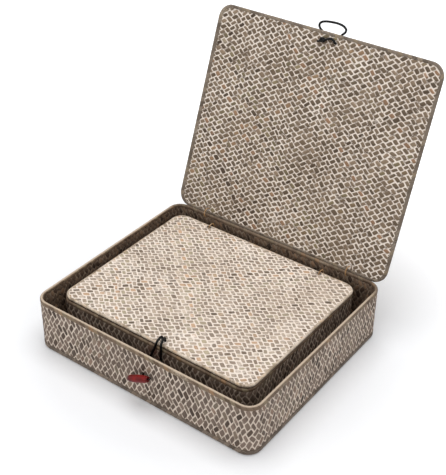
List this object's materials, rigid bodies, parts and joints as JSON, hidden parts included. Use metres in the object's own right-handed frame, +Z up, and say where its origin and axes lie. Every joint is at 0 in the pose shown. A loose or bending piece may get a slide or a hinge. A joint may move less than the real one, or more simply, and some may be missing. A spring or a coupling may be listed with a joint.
{
  "type": "nest of two plaited seagrass boxes with hinged lids",
  "caption": "Shallow plaited seagrass box with its hinged lid open, holding a smaller closed box of the same make; elastic loops and barrel toggles fasten the lids.",
  "frame": {"origin": "middle of the outer box's flat underside", "axes": "+X along the front to the right, +Y to the back where the hinges are, +Z up; the outer lid stands open and the inner lid is shut"},
  "size_m": [0.35, 0.4346, 0.3668],
  "materials": {
    "plaited_mat": "plaited seagrass with whitewash in the crevices",
    "plaited_lining": "plaited seagrass, darker",
    "lid_skin": "plaited seagrass, whitewashed",
    "lid_panel": "plaited seagrass with whitewash in the crevices",
    "frame_wire": "drawn wire",
    "hinge_tie": "twisted seagrass",
    "black_elastic": "round braided elastic",
    "red_bead": "dark red gloss lacquer"
  },
  "bodies": {
    "outer_tray": {"outer_tray_mat": "plaited_mat", "outer_tray_lining": "plaited_lining", "outer_rim_wire": "frame_wire", "outer_hinge_tie_left": "hinge_tie", "outer_hinge_tie_right": "hinge_tie"},
    "outer_lid": {"outer_lid_skin": "lid_skin", "outer_lid_panel": "lid_panel", "outer_lid_wire": "frame_wire", "outer_loop_knot": "black_elastic"},
    "outer_elastic": {"outer_loop": "black_elastic"},
    "outer_toggle": {"outer_toggle_bead": "red_bead", "outer_toggle_cord": "black_elastic", "outer_toggle_knot": "black_elastic"},
    "inner_tray": {"inner_tray_mat": "plaited_mat", "inner_tray_lining": "plaited_lining", "inner_rim_wire": "frame_wire", "inner_hinge_tie_left": "hinge_tie", "inner_hinge_tie_right": "hinge_tie"},
    "inner_lid": {"inner_lid_skin": "lid_skin", "inner_lid_panel": "lid_panel", "inner_lid_wire": "frame_wire", "inner_loop_knot": "black_elastic"},
    "inner_elastic": {"inner_loop": "black_elastic"},
    "inner_toggle": {"inner_toggle_bead": "red_bead", "inner_toggle_cord": "black_elastic", "inner_toggle_knot": "black_elastic"}
  },
  "joints": [
    {"name": "outer_lid_hinge", "type": "hinge", "parent": "outer_tray", "child": "outer_lid", "pos_m": [0, 0.15, 0.078], "axis": [-1, 0, 0], "range_deg": [-110.5, 0]},
    {"name": "outer_loop_swing", "type": "hinge", "parent": "outer_lid", "child": "outer_elastic", "pos_m": [0.001, 0.26625, 0.35695], "axis": [-1, 0, 0], "range_deg": [-90, 150], "deforming": ["outer_loop"]},
    {"name": "outer_toggle_turn", "type": "hinge", "parent": "outer_tray", "child": "outer_toggle", "pos_m": [0.0104, -0.15, 0.0452], "axis": [0, -1, 0], "range_deg": [-115.5, 64.5]},
    {"name": "inner_box_lift", "type": "slide", "parent": "outer_tray", "child": "inner_tray", "axis": [0, 0, 1], "range_m": [0, 0.1]},
    {"name": "inner_lid_hinge", "type": "hinge", "parent": "inner_tray", "child": "inner_lid", "pos_m": [-0.0071, 0.1352, 0.0657], "axis": [-1, 0, 0], "range_deg": [0, 98]},
    {"name": "inner_loop_swing", "type": "hinge", "parent": "inner_lid", "child": "inner_elastic", "pos_m": [0.0055, -0.1192, 0.0738], "axis": [-1, 0, 0], "range_deg": [0, 150], "deforming": ["inner_loop"]},
    {"name": "inner_toggle_turn", "type": "hinge", "parent": "inner_tray", "child": "inner_toggle", "pos_m": [0.0055, -0.1178, 0.0442], "axis": [0, -1, 0], "range_deg": [-102, 78]}
  ]
}
